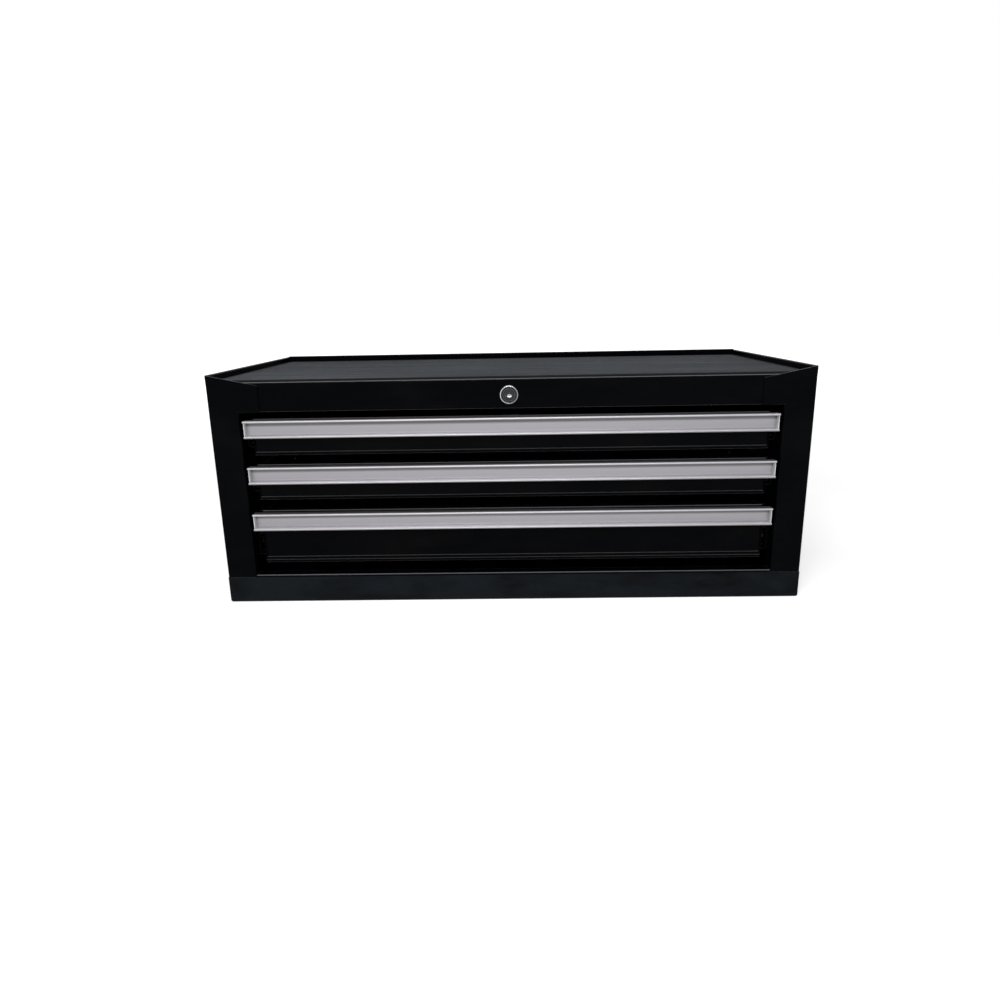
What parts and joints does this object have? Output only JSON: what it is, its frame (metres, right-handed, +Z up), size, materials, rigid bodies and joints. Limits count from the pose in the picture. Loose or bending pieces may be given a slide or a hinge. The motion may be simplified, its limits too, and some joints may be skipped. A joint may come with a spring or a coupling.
{
  "type": "machinist tool chest",
  "caption": "Wide low steel tool chest with full-width drawers behind channel pulls, a central cam lock and a lipped, matted top tray.",
  "frame": {"origin": "on the floor, under the middle of the whole chest with its pulls", "axes": "+X to the right as the front is seen, +Y to the back, +Z up; the drawers open towards -Y"},
  "size_m": [0.67, 0.321, 0.269],
  "materials": {
    "paint": "gloss black powder coat",
    "paint_base": "gloss black powder coat, slightly blue",
    "pull": "satin extrusion",
    "zinc": "bright zinc plating",
    "slide": "dark zinc plating",
    "chrome": "polished",
    "mat": "ribbed, matt",
    "caps": "matt grey"
  },
  "bodies": {
    "cabinet": {"left_side_panel": "paint", "right_side_panel": "paint", "back_panel": "paint", "top_tray": "paint", "tray_mat": "mat", "front_top_rail": "paint", "base_pan": "paint_base", "rear_upright_left": "zinc", "rear_upright_right": "zinc", "slide_outer_1_left": "slide", "slide_outer_1_right": "slide", "slide_outer_2_left": "slide", "slide_outer_2_right": "slide", "slide_outer_3_left": "slide", "slide_outer_3_right": "slide", "slide_rivets": "zinc", "lock_housing": "chrome", "lock_nut": "zinc", "bar_guide_upper": "zinc", "bar_guide_lower": "zinc", "rod_support": "zinc"},
    "cages_1": {"ball_cage_1_left": "slide", "ball_cage_1_right": "slide", "slide_balls_1": "chrome"},
    "drawer_1": {"drawer_1_box": "paint", "drawer_1_front": "paint", "drawer_1_pull": "pull", "drawer_1_pull_caps": "caps", "drawer_1_liner": "mat", "drawer_1_catch": "zinc", "drawer_1_fasteners": "zinc", "slide_inner_1_left": "slide", "slide_inner_1_right": "slide"},
    "cages_2": {"ball_cage_2_left": "slide", "ball_cage_2_right": "slide", "slide_balls_2": "chrome"},
    "drawer_2": {"drawer_2_box": "paint", "drawer_2_front": "paint", "drawer_2_pull": "pull", "drawer_2_pull_caps": "caps", "drawer_2_liner": "mat", "drawer_2_catch": "zinc", "drawer_2_fasteners": "zinc", "slide_inner_2_left": "slide", "slide_inner_2_right": "slide"},
    "cages_3": {"ball_cage_3_left": "slide", "ball_cage_3_right": "slide", "slide_balls_3": "chrome"},
    "drawer_3": {"drawer_3_box": "paint", "drawer_3_front": "paint", "drawer_3_pull": "pull", "drawer_3_pull_caps": "caps", "drawer_3_liner": "mat", "drawer_3_catch": "zinc", "drawer_3_fasteners": "zinc", "slide_inner_3_left": "slide", "slide_inner_3_right": "slide"},
    "lock": {"lock_plug": "chrome", "lock_rod": "zinc"},
    "lock_bar": {"lock_bar": "zinc"}
  },
  "joints": [
    {"name": "drawer_1_slide", "type": "slide", "parent": "cabinet", "child": "drawer_1", "axis": [0, -1, 0], "range_m": [0, 0.19]},
    {"name": "cage_1_slide", "type": "slide", "parent": "cabinet", "child": "cages_1", "axis": [0, -1, 0], "range_m": [0, 0.095]},
    {"name": "drawer_2_slide", "type": "slide", "parent": "cabinet", "child": "drawer_2", "axis": [0, -1, 0], "range_m": [0, 0.19]},
    {"name": "cage_2_slide", "type": "slide", "parent": "cabinet", "child": "cages_2", "axis": [0, -1, 0], "range_m": [0, 0.095]},
    {"name": "drawer_3_slide", "type": "slide", "parent": "cabinet", "child": "drawer_3", "axis": [0, -1, 0], "range_m": [0, 0.19]},
    {"name": "cage_3_slide", "type": "slide", "parent": "cabinet", "child": "cages_3", "axis": [0, -1, 0], "range_m": [0, 0.095]},
    {"name": "lock_turn", "type": "hinge", "parent": "cabinet", "child": "lock", "pos_m": [0, -0.13, 0.2417], "axis": [0, -1, 0], "range_deg": [0, 90]},
    {"name": "lock_bar_lift", "type": "slide", "parent": "cabinet", "child": "lock_bar", "axis": [0, 0, 1], "range_m": [0, 0.01131]}
  ],
  "couplings": [
    {"joint": "cage_1_slide", "follows": "drawer_1_slide", "ratio": 0.5},
    {"joint": "cage_2_slide", "follows": "drawer_2_slide", "ratio": 0.5},
    {"joint": "cage_3_slide", "follows": "drawer_3_slide", "ratio": 0.5},
    {"joint": "lock_turn", "follows": "lock_bar_lift", "rad_per_m": 138.84}
  ]
}
